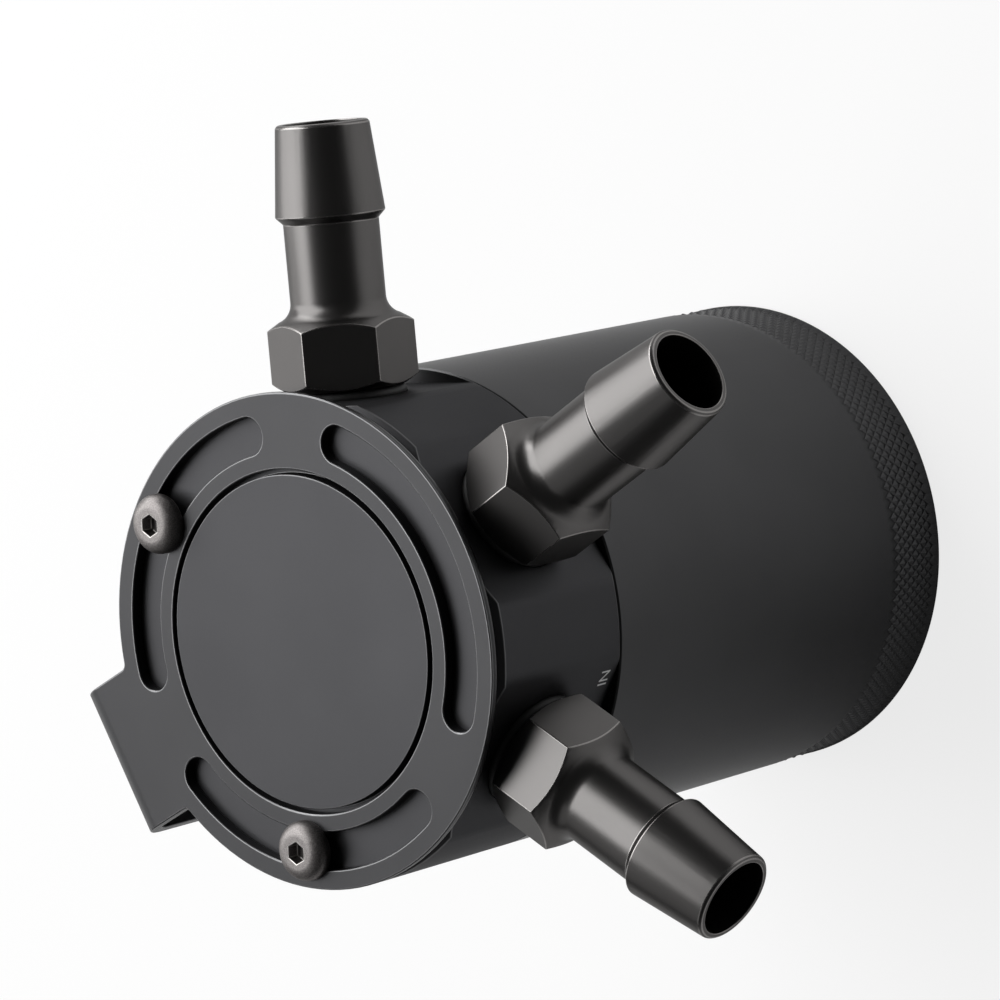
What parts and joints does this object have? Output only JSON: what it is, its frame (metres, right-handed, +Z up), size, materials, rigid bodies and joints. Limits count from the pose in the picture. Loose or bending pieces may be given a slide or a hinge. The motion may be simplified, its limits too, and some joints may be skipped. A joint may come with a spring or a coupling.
{
  "type": "oil catch can",
  "caption": "Black anodised baffled oil catch can with a knurled screw-off body, barbed hose fittings on the head and a slotted bracket with a folded leg.",
  "frame": {"origin": "centre of the can's round base, on the surface that it stands on", "axes": "+Z up along the can's axis, -X towards the bracket's leg, +Y towards the right-hand inlet as seen from the hose fittings' side"},
  "size_m": [0.1255, 0.1402, 0.1157],
  "materials": {
    "can": "satin",
    "head": "satin",
    "plate": "satin",
    "fitting": "satin",
    "screw": "satin",
    "rubber": "matte",
    "tube": "satin",
    "stainless": "satin",
    "brass": "satin",
    "bronze": "matte"
  },
  "bodies": {
    "can": {"can_body": "can"},
    "can_seal": {"can_seal": "rubber"},
    "head": {"head": "head", "bracket_screw_left": "screw", "bracket_screw_right": "screw", "inlet_left_fitting": "fitting", "outlet_fitting": "fitting", "inlet_right_fitting": "fitting", "inlet_left_seal": "rubber", "outlet_seal": "rubber", "inlet_right_seal": "rubber", "drop_tube_left": "tube", "drop_tube_right": "tube", "baffle_plate": "stainless", "standoff_front": "stainless", "standoff_right": "stainless", "standoff_left": "stainless", "baffle_screw_front": "stainless", "baffle_screw_right": "stainless", "baffle_screw_left": "stainless", "filter_holder": "brass", "filter_element": "bronze"},
    "bracket": {"bracket": "plate"}
  },
  "joints": [
    {"name": "head_lift", "type": "slide", "parent": "can", "child": "can_seal", "axis": [0, 0, 1], "range_m": [0, 0.045]},
    {"name": "head_screw", "type": "hinge", "parent": "can_seal", "child": "head", "pos_m": [0, 0, 0.083], "axis": [0, 0, 1], "continuous": true},
    {"name": "bracket_turn", "type": "hinge", "parent": "head", "child": "bracket", "pos_m": [0, 0, 0.111], "axis": [0, 0, 1], "range_deg": [-44, 44]}
  ]
}
